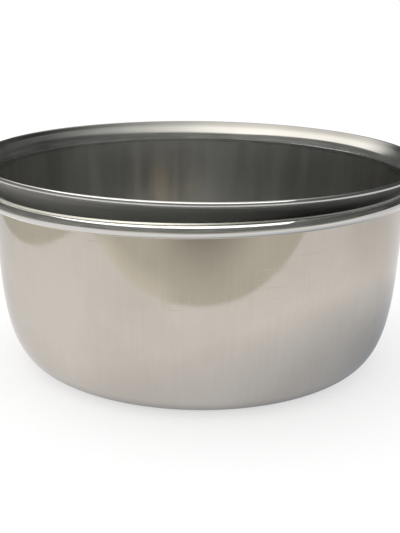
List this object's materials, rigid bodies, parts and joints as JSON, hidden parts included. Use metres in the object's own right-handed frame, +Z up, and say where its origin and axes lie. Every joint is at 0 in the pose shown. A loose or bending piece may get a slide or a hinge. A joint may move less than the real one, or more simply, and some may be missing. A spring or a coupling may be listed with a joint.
{
  "type": "coop cup",
  "caption": "Round drawn steel feed and water cup with a flared, folded rim, standing in the loose wire ring that it hangs in by its flare.",
  "frame": {"origin": "centre of the foot's underside", "axes": "+Z up along the cup's axis; +X towards the side where the ring lies highest; the picture looks along +Y"},
  "size_m": [0.13, 0.13, 0.061],
  "materials": {
    "satin_steel": "satin body, mirror-polished inside, flare and rim",
    "polished_steel": "mirror-polished round wire"
  },
  "bodies": {
    "cup": {"cup": "satin_steel"},
    "ring": {"ring": "polished_steel"}
  },
  "joints": [
    {"name": "ring_slide", "type": "slide", "parent": "cup", "child": "ring", "axis": [0, 0, 1], "range_m": [-0.0501, 0]}
  ]
}
